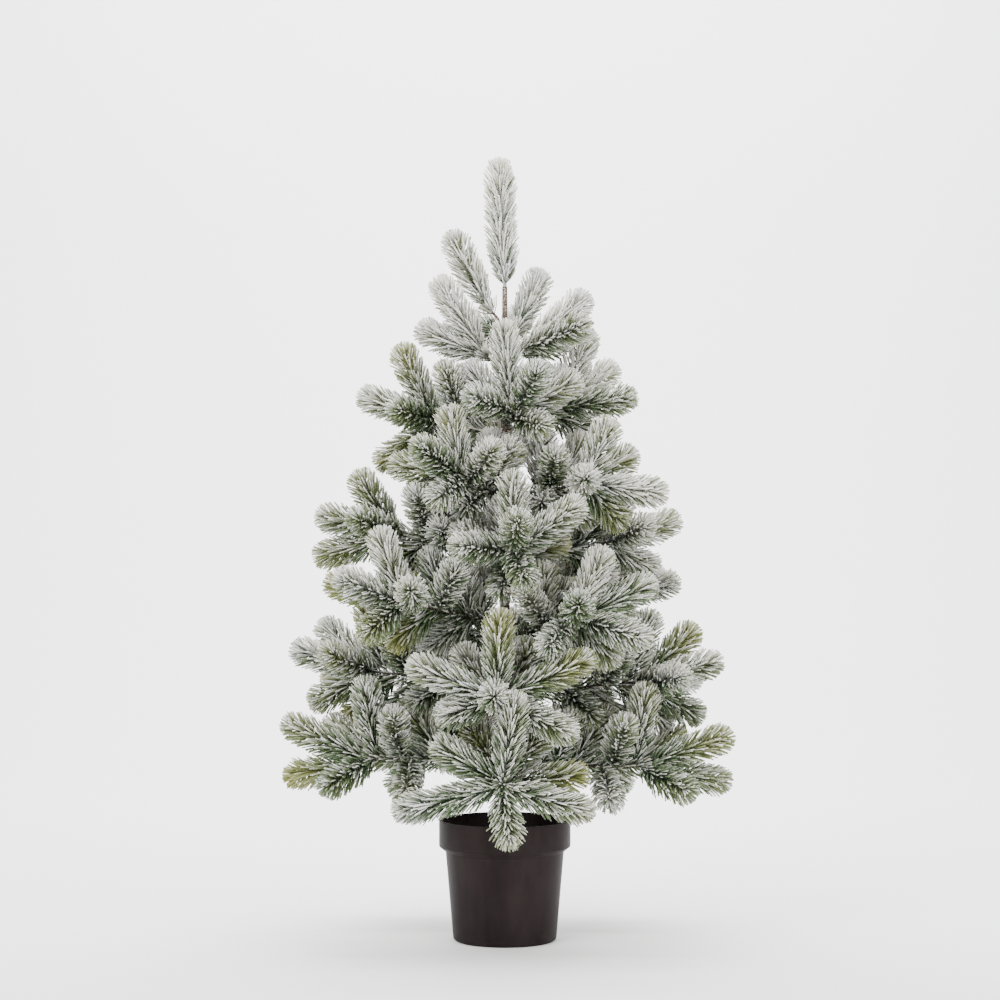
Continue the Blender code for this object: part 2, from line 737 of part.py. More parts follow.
def build_tree():
    """The whole tree, from the pot up."""
    clear_scene()
    home = bpy.data.collections.new("tabletop_tree")
    cutters = bpy.data.collections.new("cutters")
    bpy.context.scene.collection.children.link(home)
    bpy.context.scene.collection.children.link(cutters)
    pot_brown = paint("pot_plastic", srgb(52, 46, 45), 0.42)
    cement_grey = paint("cement", srgb(120, 116, 110), 0.92)
    steel = paint("rod_steel", srgb(150, 150, 152), 0.45, 1.0)
    tape_brown = paint("paper_tape", srgb(84, 64, 50), 0.85)
    needles = paint("frosted_needles", srgb(168, 172, 164), 0.80)

    build_pot(home, pot_brown)
    build_cement(home, cement_grey, cutters)
    build_rod(home, steel)
    build_tape(home, tape_brown, cutters)
    build_leader(home, needles, cutters)

    feet, ways, lengths, owners = first_set(BRANCHES)
    ways = fluffed(feet, ways, lengths)
    radii = tip_radii(feet, ways, lengths, owners, fixed_solids())
    for number, row in enumerate(BRANCHES):
        mine = np.flatnonzero(owners == number)
        tips = [(Vector(feet[i]), Vector(ways[i]), float(lengths[i]), float(radii[i]))
                for i in mine]
        build_branch(row, tips, home, (tape_brown, needles), cutters)


build_tree()
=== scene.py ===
"""Looks of a frosted artificial tabletop tree in a round plastic pot."""
import math

import bpy
import numpy as np
from mathutils import Matrix, Vector


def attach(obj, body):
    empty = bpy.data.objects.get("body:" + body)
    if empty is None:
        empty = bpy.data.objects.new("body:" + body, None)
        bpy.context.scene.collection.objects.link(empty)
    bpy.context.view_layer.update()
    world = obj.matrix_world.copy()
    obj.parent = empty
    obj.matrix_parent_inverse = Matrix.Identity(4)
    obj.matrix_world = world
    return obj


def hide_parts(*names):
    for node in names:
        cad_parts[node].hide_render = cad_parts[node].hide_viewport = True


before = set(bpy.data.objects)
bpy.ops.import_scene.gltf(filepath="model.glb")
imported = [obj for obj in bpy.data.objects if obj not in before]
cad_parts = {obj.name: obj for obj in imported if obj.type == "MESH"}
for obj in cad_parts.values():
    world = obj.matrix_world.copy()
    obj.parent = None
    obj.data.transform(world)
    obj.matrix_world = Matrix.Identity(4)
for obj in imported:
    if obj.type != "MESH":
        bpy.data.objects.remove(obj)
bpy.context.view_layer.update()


# ------------------------------------------------------------------------------------------------
# Pot. Dark brown polypropylene, injection moulded in one piece: tapering body, sloping shoulder
# and a straight band at the rim. The skin is satin, a little uneven, with a fine grain.

def srgb(red, green, blue):
    return tuple((c / 255) ** 2.2 for c in (red, green, blue)) + (1.0,)


def new_paint(name):
    """An empty Principled material; returns the material, its nodes, its links and the shader."""
    paint = bpy.data.materials.new(name)
    paint.use_nodes = True
    nodes, links = paint.node_tree.nodes, paint.node_tree.links
    return paint, nodes, links, nodes["Principled BSDF"]


def noise(nodes, links, scale, detail=3.0, roughness=0.5, squeeze=(1, 1, 1)):
    """A noise value in the piece's own coordinates, features about 1/scale metres across."""
    place = nodes.new("ShaderNodeTexCoord")
    stretch = nodes.new("ShaderNodeMapping")
    stretch.inputs["Scale"].default_value = squeeze
    grain = nodes.new("ShaderNodeTexNoise")
    grain.inputs["Scale"].default_value = scale
    grain.inputs["Detail"].default_value = detail
    grain.inputs["Roughness"].default_value = roughness
    links.new(place.outputs["Object"], stretch.inputs["Vector"])
    links.new(stretch.outputs["Vector"], grain.inputs["Vector"])
    return grain.outputs["Fac"]


def math_node(nodes, links, operation, a, b=None, clamp=False):
    """One sum; a and b are sockets or numbers."""
    step = nodes.new("ShaderNodeMath")
    step.operation = operation
    step.use_clamp = clamp
    for value, socket in zip((a, b), step.inputs):
        if isinstance(value, (int, float)):
            socket.default_value = value
        elif value is not None:
            links.new(value, socket)
    return step.outputs[0]


def mix_colour(nodes, links, share, a, b):
    """A blend of two colours, each a socket or a colour."""
    blend = nodes.new("ShaderNodeMix")
    blend.data_type = "RGBA"
    for value, socket in ((share, blend.inputs["Factor"]), (a, blend.inputs[6]), (b, blend.inputs[7])):
        if isinstance(value, (int, float, tuple)):
            socket.default_value = value
        else:
            links.new(value, socket)
    return blend.outputs[2]


def ramp(nodes, links, value, low, high, out_low=0.0, out_high=1.0):
    """The value's range from low to high stretched on to another range."""
    step = nodes.new("ShaderNodeMapRange")
    step.inputs["From Min"].default_value = low
    step.inputs["From Max"].default_value = high
    step.inputs["To Min"].default_value = out_low
    step.inputs["To Max"].default_value = out_high
    links.new(value, step.inputs["Value"])
    return step.outputs["Result"]


def bump(nodes, links, shader, height, strength, distance):
    """Surface relief from a value."""
    relief = nodes.new("ShaderNodeBump")
    relief.inputs["Strength"].default_value = strength
    relief.inputs["Distance"].default_value = distance
    links.new(height, relief.inputs["Height"])
    links.new(relief.outputs["Normal"], shader.inputs["Normal"])


def pot_paint():
    paint, nodes, links, shader = new_paint("pot_plastic")
    cloud = noise(nodes, links, 22, 4, 0.55, (1, 1, 0.35))
    speck = noise(nodes, links, 900, 2)
    tone = mix_colour(nodes, links, ramp(nodes, links, cloud, 0.3, 0.7),
                      srgb(34, 29, 29), srgb(48, 42, 42))
    links.new(mix_colour(nodes, links, ramp(nodes, links, speck, 0.62, 0.80, 0, 0.25),
                         tone, srgb(58, 51, 50)), shader.inputs["Base Color"])
    links.new(ramp(nodes, links, cloud, 0.25, 0.75, 0.40, 0.52), shader.inputs["Roughness"])
    shader.inputs["Specular IOR Level"].default_value = 0.04
    bump(nodes, links, shader, noise(nodes, links, 650, 4, 0.6), 0.16, 0.0005)
    return paint


def lathe(name, outline, sides, paint):
    """A round solid from its half section, read from the inside bottom over the top and down."""
    points = np.array(outline)
    angle = np.arange(sides) * math.tau / sides
    ring = np.stack((np.cos(angle), np.sin(angle)), axis=1)
    verts = np.concatenate([np.column_stack((ring * r, np.full(sides, z))) for r, z in points])
    faces = []
    for row in range(len(points) - 1):
        for i in range(sides):
            j = (i + 1) % sides
            a, b = row * sides, (row + 1) * sides
            faces.append((a + i, b + i, b + j, a + j))
    faces.append(tuple(range(sides)))
    last = (len(points) - 1) * sides
    faces.append(tuple(last + i for i in reversed(range(sides))))
    mesh = bpy.data.meshes.new(name)
    mesh.from_pydata(verts.tolist(), [], faces)
    mesh.shade_smooth()
    mesh.materials.append(paint)
    body = bpy.data.objects.new(name, mesh)
    bpy.context.scene.collection.objects.link(body)
    return body


def rounded(corners, radii, steps=5):
    """The outline with each corner turned into an arc of the given radius."""
    points = []
    corners = [Vector(c) for c in corners]
    for i, corner in enumerate(corners):
        radius = radii[i]
        if radius == 0 or i in (0, len(corners) - 1):
            points.append(tuple(corner))
            continue
        back = (corners[i - 1] - corner).normalized()
        onward = (corners[i + 1] - corner).normalized()
        half = back.angle(onward) / 2
        reach = radius / math.tan(half)
        centre = corner + (back + onward).normalized() * (radius / math.sin(half))
        start, end = corner + back * reach - centre, corner + onward * reach - centre
        for k in range(steps + 1):
            arm = start.lerp(end, k / steps)
            points.append(tuple(centre + arm.normalized() * radius))
    return points


POT_HEIGHT = 0.138
POT_SIDES = 128
pot_section = rounded(
    ((0.0004, 0.0024), (0.0560, 0.0024), (0.0656, 0.1020), (0.0732, 0.1086), (0.0732, POT_HEIGHT),
     (0.0756, POT_HEIGHT), (0.0756, 0.1080), (0.0680, 0.1020), (0.0592, 0.0000), (0.0520, 0.0000),
     (0.0510, 0.0008), (0.0004, 0.0008)),
    (0, 0.004, 0.002, 0.002, 0.0008, 0.0010, 0.0022, 0.0022, 0.0045, 0.0004, 0.0004, 0))
pot = lathe("pot_shell", pot_section, POT_SIDES, pot_paint())
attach(pot, "pot_and_trunk")
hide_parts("pot")


# ------------------------------------------------------------------------------------------------
# Cement weight. Poured grey cement that fills the pot to 44 mm below the rim, with a flat, rough,
# slightly sandy top.

def cement_paint():
    paint, nodes, links, shader = new_paint("cement")
    patch = noise(nodes, links, 45, 5, 0.6)
    sand = noise(nodes, links, 900, 3, 0.7)
    tone = mix_colour(nodes, links, ramp(nodes, links, patch, 0.3, 0.7),
                      srgb(104, 100, 94), srgb(140, 136, 128))
    links.new(mix_colour(nodes, links, ramp(nodes, links, sand, 0.56, 0.75), tone,
                         srgb(78, 74, 70)), shader.inputs["Base Color"])
    shader.inputs["Roughness"].default_value = 0.93
    both = math_node(nodes, links, "ADD", sand, math_node(nodes, links, "MULTIPLY", patch, 3.0))
    bump(nodes, links, shader, both, 0.7, 0.0012)
    return paint


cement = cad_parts["cement_weight"]
cement.data.materials.clear()
cement.data.materials.append(cement_paint())


# ------------------------------------------------------------------------------------------------
# Trunk. A steel rod wrapped in brown crepe paper tape, wound upwards in an overlapping spiral over
# the ends of the branch wires; overspray from the frosting lies on it, mostly near the top.

def tape_paint(name, turns, frost):
    """Brown crepe tape: winding lines across it, fine crinkles and specks of frost."""
    paint, nodes, links, shader = new_paint(name)
    place = nodes.new("ShaderNodeTexCoord")
    wind = nodes.new("ShaderNodeTexWave")
    wind.wave_type = "BANDS"
    wind.bands_direction = "Z"
    wind.inputs["Scale"].default_value = turns
    wind.inputs["Distortion"].default_value = 1.2
    wind.inputs["Detail"].default_value = 2
    links.new(place.outputs["Object"], wind.inputs["Vector"])
    crinkle = noise(nodes, links, 1400, 3, 0.6)
    patch = noise(nodes, links, 120, 3)
    tone = mix_colour(nodes, links, ramp(nodes, links, patch, 0.3, 0.7),
                      srgb(66, 51, 43), srgb(106, 88, 76))
    tone = mix_colour(nodes, links, math_node(nodes, links, "MULTIPLY", wind.outputs["Fac"], 0.35),
                      tone, srgb(50, 38, 31))
    speckle = noise(nodes, links, 520, 4, 0.7)
    white = ramp(nodes, links, speckle, 0.62 - frost, 0.74 - frost)
    links.new(mix_colour(nodes, links, white, tone, srgb(196, 193, 187)),
              shader.inputs["Base Color"])
    shader.inputs["Roughness"].default_value = 0.88
    both = math_node(nodes, links, "ADD", crinkle, wind.outputs["Fac"])
    bump(nodes, links, shader, both, 0.6, 0.0005)
    return paint


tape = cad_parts["trunk_tape"]
tape.data.materials.clear()
tape.data.materials.append(tape_paint("trunk_tape", 70, 0.09))
wire_tape_paint = tape_paint("wire_tape", 160, 0.04)


def steel_paint():
    paint, nodes, links, shader = new_paint("rod_steel")
    streak = noise(nodes, links, 300, 4, 0.6, (6, 6, 0.3))
    links.new(mix_colour(nodes, links, streak, srgb(128, 128, 130), srgb(168, 167, 166)),
              shader.inputs["Base Color"])
    shader.inputs["Metallic"].default_value = 1.0
    links.new(ramp(nodes, links, streak, 0.2, 0.8, 0.35, 0.55), shader.inputs["Roughness"])
    bump(nodes, links, shader, streak, 0.2, 0.0002)
    return paint


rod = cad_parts["trunk_rod"]
rod.data.materials.clear()
rod.data.materials.append(steel_paint())


# ------------------------------------------------------------------------------------------------
# Leader tip. One moulded polyethylene tip stood upright on the rod: a thin green stem closely set
# with round needles about 27 mm long that sweep forward, all flocked with off-white frost.

NEEDLE_LENGTH = 0.0272
NEEDLE_RADIUS = 0.00094
NEEDLE_PITCH = 0.00030
NEEDLE_STATIONS = np.array((0.0, 0.45, 0.96, 1.0))
NEEDLE_GIRTH = np.array((0.70, 0.95, 0.95))
CROWN_LENGTH = 0.0175
CROWN_NEEDLES = 32
CROWN_SPREAD = 62
NEEDLE_LEAVE = 58
NEEDLE_SWEEP = 32
EASE_FROM = 0.80
FROST_ROUND = np.array((-0.42, 0.10, 0.10) * 3 + (0.06,))
FROST_SPREAD = 0.28
FROST_OUTWARD = 0.32
STEM_RADIUS = 0.0014
STEM_RINGS = 7
STEM_SIDES = 5
GOLDEN = 2.399963


def needle_template():
    """Corner numbers and map corners of one needle: two bands of three sides and a blunt end."""
    corners, places, sizes = [], [], []
    for ring in range(2):
        for side in range(3):
            after = (side + 1) % 3
            corners += [ring * 3 + side, ring * 3 + after, ring * 3 + 3 + after, ring * 3 + 3 + side]
            u, v = (NEEDLE_STATIONS[ring], NEEDLE_STATIONS[ring + 1]), (side / 3, (side + 1) / 3)
            places += [(u[0], v[0]), (u[0], v[1]), (u[1], v[1]), (u[1], v[0])]
            sizes.append(4)
    for side in range(3):
        after = (side + 1) % 3
        corners += [6 + side, 6 + after, 9]
        places += [(NEEDLE_STATIONS[2], side / 3), (NEEDLE_STATIONS[2], (side + 1) / 3),
                   (1.0, (side + 0.5) / 3)]
        sizes.append(3)
    return np.array(corners), np.array(places), np.array(sizes)


def stem_template():
    """The same for the stem, a thin tube."""
    corners, places, sizes = [], [], []
    for ring in range(STEM_RINGS - 1):
        for side in range(STEM_SIDES):
            after = (side + 1) % STEM_SIDES
            low, high = ring * STEM_SIDES, (ring + 1) * STEM_SIDES
            corners += [low + side, low + after, high + after, high + side]
            u = (ring / (STEM_RINGS - 1), (ring + 1) / (STEM_RINGS - 1))
            v = (side / STEM_SIDES, (side + 1) / STEM_SIDES)
            places += [(u[0], v[0]), (u[0], v[1]), (u[1], v[1]), (u[1], v[0])]
            sizes.append(4)
    return np.array(corners), np.array(places), np.array(sizes)


def unit(v):
    return v / np.linalg.norm(v, axis=-1, keepdims=True)


def grow_tip(foot, way, length, seed, look, lean=0.05, girth=1.0, bare=0.06, pitch=NEEDLE_PITCH):
    """Needles and stem of one moulded tip; look is its frost and its yellow-green new growth."""
    rng = np.random.default_rng(seed)
    frost, growth = look
    side = unit(np.cross(way, (0.31, 0.17, 1.0)))
    over = np.cross(side, way)
    turn = rng.normal(0.0, 0.8)
    bend = over * math.cos(turn) + side * math.sin(turn)
    sag = length * lean * rng.uniform(0.4, 1.4)
    run = length - CROWN_LENGTH

    def along(t):
        return foot + way * (t[..., None] * run) + bend * (sag * t[..., None] ** 2)

    count = int(run * (1 - bare) / pitch)
    t = bare + (1 - bare) * np.arange(count) / (count - 1)
    t = np.clip(t + rng.normal(0, 0.004, count), bare, 1.0)
    around = np.arange(count) * GOLDEN + rng.normal(0, 0.14, count)
    ease = np.clip((t - EASE_FROM) / 0.20, 0, 1)
    leave = np.radians(NEEDLE_LEAVE - 4 * ease ** 1.5) + rng.normal(0, 0.05, count)
    reach = np.minimum(0.62 + 2.6 * (t - bare), 1.0) * (1 - 0.32 * ease)
    crown = CROWN_NEEDLES
    t = np.concatenate((t, np.ones(crown)))
    around = np.concatenate((around, np.arange(crown) * GOLDEN))
    leave = np.concatenate((leave, np.radians(CROWN_SPREAD * np.sqrt(np.arange(crown) / crown))))
    reach = np.concatenate((reach, np.full(crown, CROWN_LENGTH / NEEDLE_LENGTH / girth)))
    total = count + crown
    sweep = np.radians(NEEDLE_SWEEP) * rng.uniform(0.75, 1.2, total) * np.clip(leave / 1.0, 0, 1)
    size = NEEDLE_LENGTH * girth * reach * rng.uniform(0.93, 1.03, total)

    tangent = unit(way * run + bend * (2 * sag * t[:, None]))
    first = unit(side - tangent * (tangent @ side)[:, None])
    second = np.cross(tangent, first)
    outward = first * np.cos(around)[:, None] + second * np.sin(around)[:, None]
    across = np.cross(tangent, outward)
    spot = along(t) + outward * (STEM_RADIUS * 0.5)
    verts = np.empty((total, 10, 3))
    lean_side = rng.normal(0, 0.10, total)[:, None]
    for ring in range(4):
        angle = leave - sweep * NEEDLE_STATIONS[ring]
        heading = (tangent * np.cos(angle)[:, None] + outward * np.sin(angle)[:, None]
                   + across * lean_side)
        if ring:
            middle = leave - sweep * (NEEDLE_STATIONS[ring] + NEEDLE_STATIONS[ring - 1]) / 2
            step = (tangent * np.cos(middle)[:, None] + outward * np.sin(middle)[:, None]
                    + across * lean_side)
            spot = spot + step * (size * (NEEDLE_STATIONS[ring] - NEEDLE_STATIONS[ring - 1]))[:, None]
        if ring == 3:
            verts[:, 9] = spot
            break
        back = unit(np.cross(heading, across))
        for corner in range(3):
            a = math.tau * corner / 3 + math.pi / 2
            arm = across * math.cos(a) + back * math.sin(a)
            verts[:, ring * 3 + corner] = spot + arm * (NEEDLE_RADIUS * NEEDLE_GIRTH[ring])

    share = np.repeat(NEEDLE_STATIONS, (3, 3, 3, 1))
    needle = np.empty((total, 10, 4))
    needle[:, :, 0] = share
    topside = 0.16 * outward[:, 2] + 0.05 * np.clip(verts[:, 9, 2] - 0.2, 0, 1)
    outer = FROST_OUTWARD * (t - 0.55)
    uneven = rng.normal(0, FROST_SPREAD, total)
    needle[:, :, 1] = (frost + topside + outer + uneven)[:, None] + FROST_ROUND
    young = np.clip((t - 0.25) / 0.6, 0, 1) * growth
    needle[:, :, 2] = np.clip(young + rng.normal(0, 0.06, total), 0, 1)[:, None]
    needle[:, :, 3] = rng.uniform(0, 1, total)[:, None]

    ring_t = np.linspace(0.0, 1.0, STEM_RINGS)
    middle = along(ring_t)
    angle = np.arange(STEM_SIDES) * math.tau / STEM_SIDES
    arms = side[None] * np.cos(angle)[:, None] + over[None] * np.sin(angle)[:, None]
    width = STEM_RADIUS * (1.15 - 0.6 * ring_t)
    stem = middle[:, None] + arms[None] * width[:, None, None]
    stem_data = np.zeros((STEM_RINGS * STEM_SIDES, 4))
    stem_data[:, 0] = 0.12
    stem_data[:, 1] = frost - 0.05
    stem_data[:, 3] = 0.5
    return verts.reshape(-1, 3), needle.reshape(-1, 4), stem.reshape(-1, 3), stem_data


def tip_mesh(name, grown, paint):
    """One mesh for a spray of grown tips, with a map cell of its own for every needle and stem."""
    needle_corner, needle_place, needle_size = needle_template()
    stem_corner, stem_place, stem_size = stem_template()
    needles = sum(len(g[0]) // 10 for g in grown)
    cells = needles + len(grown)
    across = math.ceil(math.sqrt(cells))
    verts = np.concatenate([g[0] for g in grown] + [g[2] for g in grown])
    data = np.concatenate([g[1] for g in grown] + [g[3] for g in grown])
    base = np.arange(needles) * 10
    stem_base = needles * 10 + np.arange(len(grown)) * (STEM_RINGS * STEM_SIDES)
    corners = np.concatenate(((base[:, None] + needle_corner).ravel(),
                              (stem_base[:, None] + stem_corner).ravel()))
    sizes = np.concatenate((np.tile(needle_size, needles), np.tile(stem_size, len(grown))))
    cell = np.arange(cells)
    origin = np.stack((cell % across, cell // across), axis=1) / across
    inset = 0.10 / across
    scale = (1 - 0.2) / across
    spots = np.concatenate((
        (origin[:needles, None] + inset + needle_place[None] * scale).reshape(-1, 2),
        (origin[needles:, None] + inset + stem_place[None] * scale).reshape(-1, 2)))
    mesh = bpy.data.meshes.new(name)
    mesh.vertices.add(len(verts))
    mesh.vertices.foreach_set("co", verts.ravel())
    mesh.loops.add(len(corners))
    mesh.loops.foreach_set("vertex_index", corners)
    mesh.polygons.add(len(sizes))
    mesh.polygons.foreach_set("loop_start", np.concatenate(((0,), np.cumsum(sizes)[:-1])))
    mesh.update(calc_edges=True)
    layer = mesh.uv_layers.new(name="OFBake")
    layer.data.foreach_set("uv", spots.ravel())
    colour = mesh.attributes.new("needle", "FLOAT_COLOR", "POINT")
    colour.data.foreach_set("color", data.ravel())
    mesh.shade_smooth()
    mesh.materials.append(paint)
    body = bpy.data.objects.new(name, mesh)
    bpy.context.scene.collection.objects.link(body)
    return body


def needle_paint():
    """Blue-green plastic, yellower at new growth, under flocked frost that thickens outwards; the
    green darkens towards each needle's base as painted shade, and the frost thins there partly as real
    flocking and partly as painted shade.
    """
    paint, nodes, links, shader = new_paint("frosted_needles")
    data = nodes.new("ShaderNodeAttribute")
    data.attribute_name = "needle"
    split = nodes.new("ShaderNodeSeparateColor")
    links.new(data.outputs["Color"], split.inputs["Color"])
    along, frost, growth = split.outputs[0], split.outputs[1], split.outputs[2]
    chance = data.outputs["Alpha"]
    fleck = noise(nodes, links, 850, 3, 0.65)
    patch = noise(nodes, links, 38, 3, 0.5)
    # Painted shade: the needle green darkens from the outer end to the base, where the inside of the
    # tip lies in shade.
    green = mix_colour(nodes, links, ramp(nodes, links, along, 0.1, 0.75),
                       srgb(52, 68, 52), srgb(94, 112, 80))
    fresh = mix_colour(nodes, links, chance, srgb(122, 128, 70), srgb(154, 154, 98))
    green = mix_colour(nodes, links, math_node(nodes, links, "MULTIPLY", growth, 0.9, True),
                       green, fresh)
    flock = mix_colour(nodes, links, ramp(nodes, links, patch, 0.35, 0.65),
                       srgb(242, 238, 226), srgb(234, 233, 234))
    flock = mix_colour(nodes, links, math_node(nodes, links, "MULTIPLY", chance, 0.35),
                       flock, srgb(206, 204, 194))
    # Frost cover grows along each needle: partly the flock's real build-up at the outer ends, partly
    # painted shade that leaves the needle bases dark green.
    cover = math_node(nodes, links, "ADD", math_node(nodes, links, "MULTIPLY", along, 0.50), frost)
    cover = math_node(nodes, links, "ADD", cover,
                      math_node(nodes, links, "MULTIPLY",
                                math_node(nodes, links, "SUBTRACT", fleck, 0.5), 1.3))
    cover = math_node(nodes, links, "SUBTRACT", cover,
                      math_node(nodes, links, "MULTIPLY", growth, 0.34))
    cover = ramp(nodes, links, cover, 0.54, 1.18)
    links.new(mix_colour(nodes, links, math_node(nodes, links, "MULTIPLY", cover, 0.94),
                         green, flock), shader.inputs["Base Color"])
    links.new(ramp(nodes, links, cover, 0.0, 1.0, 0.48, 0.92), shader.inputs["Roughness"])
    shader.inputs["Specular IOR Level"].default_value = 0.3
    bump(nodes, links, shader, math_node(nodes, links, "MULTIPLY", fleck, cover), 0.7, 0.0006)
    return paint


frosted = needle_paint()
LEADER_FOOT = 0.768
LEADER_LENGTH = 0.132
LEADER_DROP = 0.018
leader_way = unit(np.array((-0.060, -0.01, 1.0)))
leader_parts = [grow_tip(np.array((0.0, 0.0, LEADER_FOOT - LEADER_DROP)), leader_way,
                         LEADER_LENGTH + LEADER_DROP, 7, (0.86, 0.25), lean=0.01, bare=0.02)]
leader = tip_mesh("leader_needles", leader_parts, frosted)
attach(leader, "pot_and_trunk")
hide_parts("leader_tip")


# ------------------------------------------------------------------------------------------------
# Branches. Each is a taped steel wire bound to the trunk, with a spray of moulded tips twisted on
# along its outer part. The tips are spread by hand so that they fill the gaps between branches.

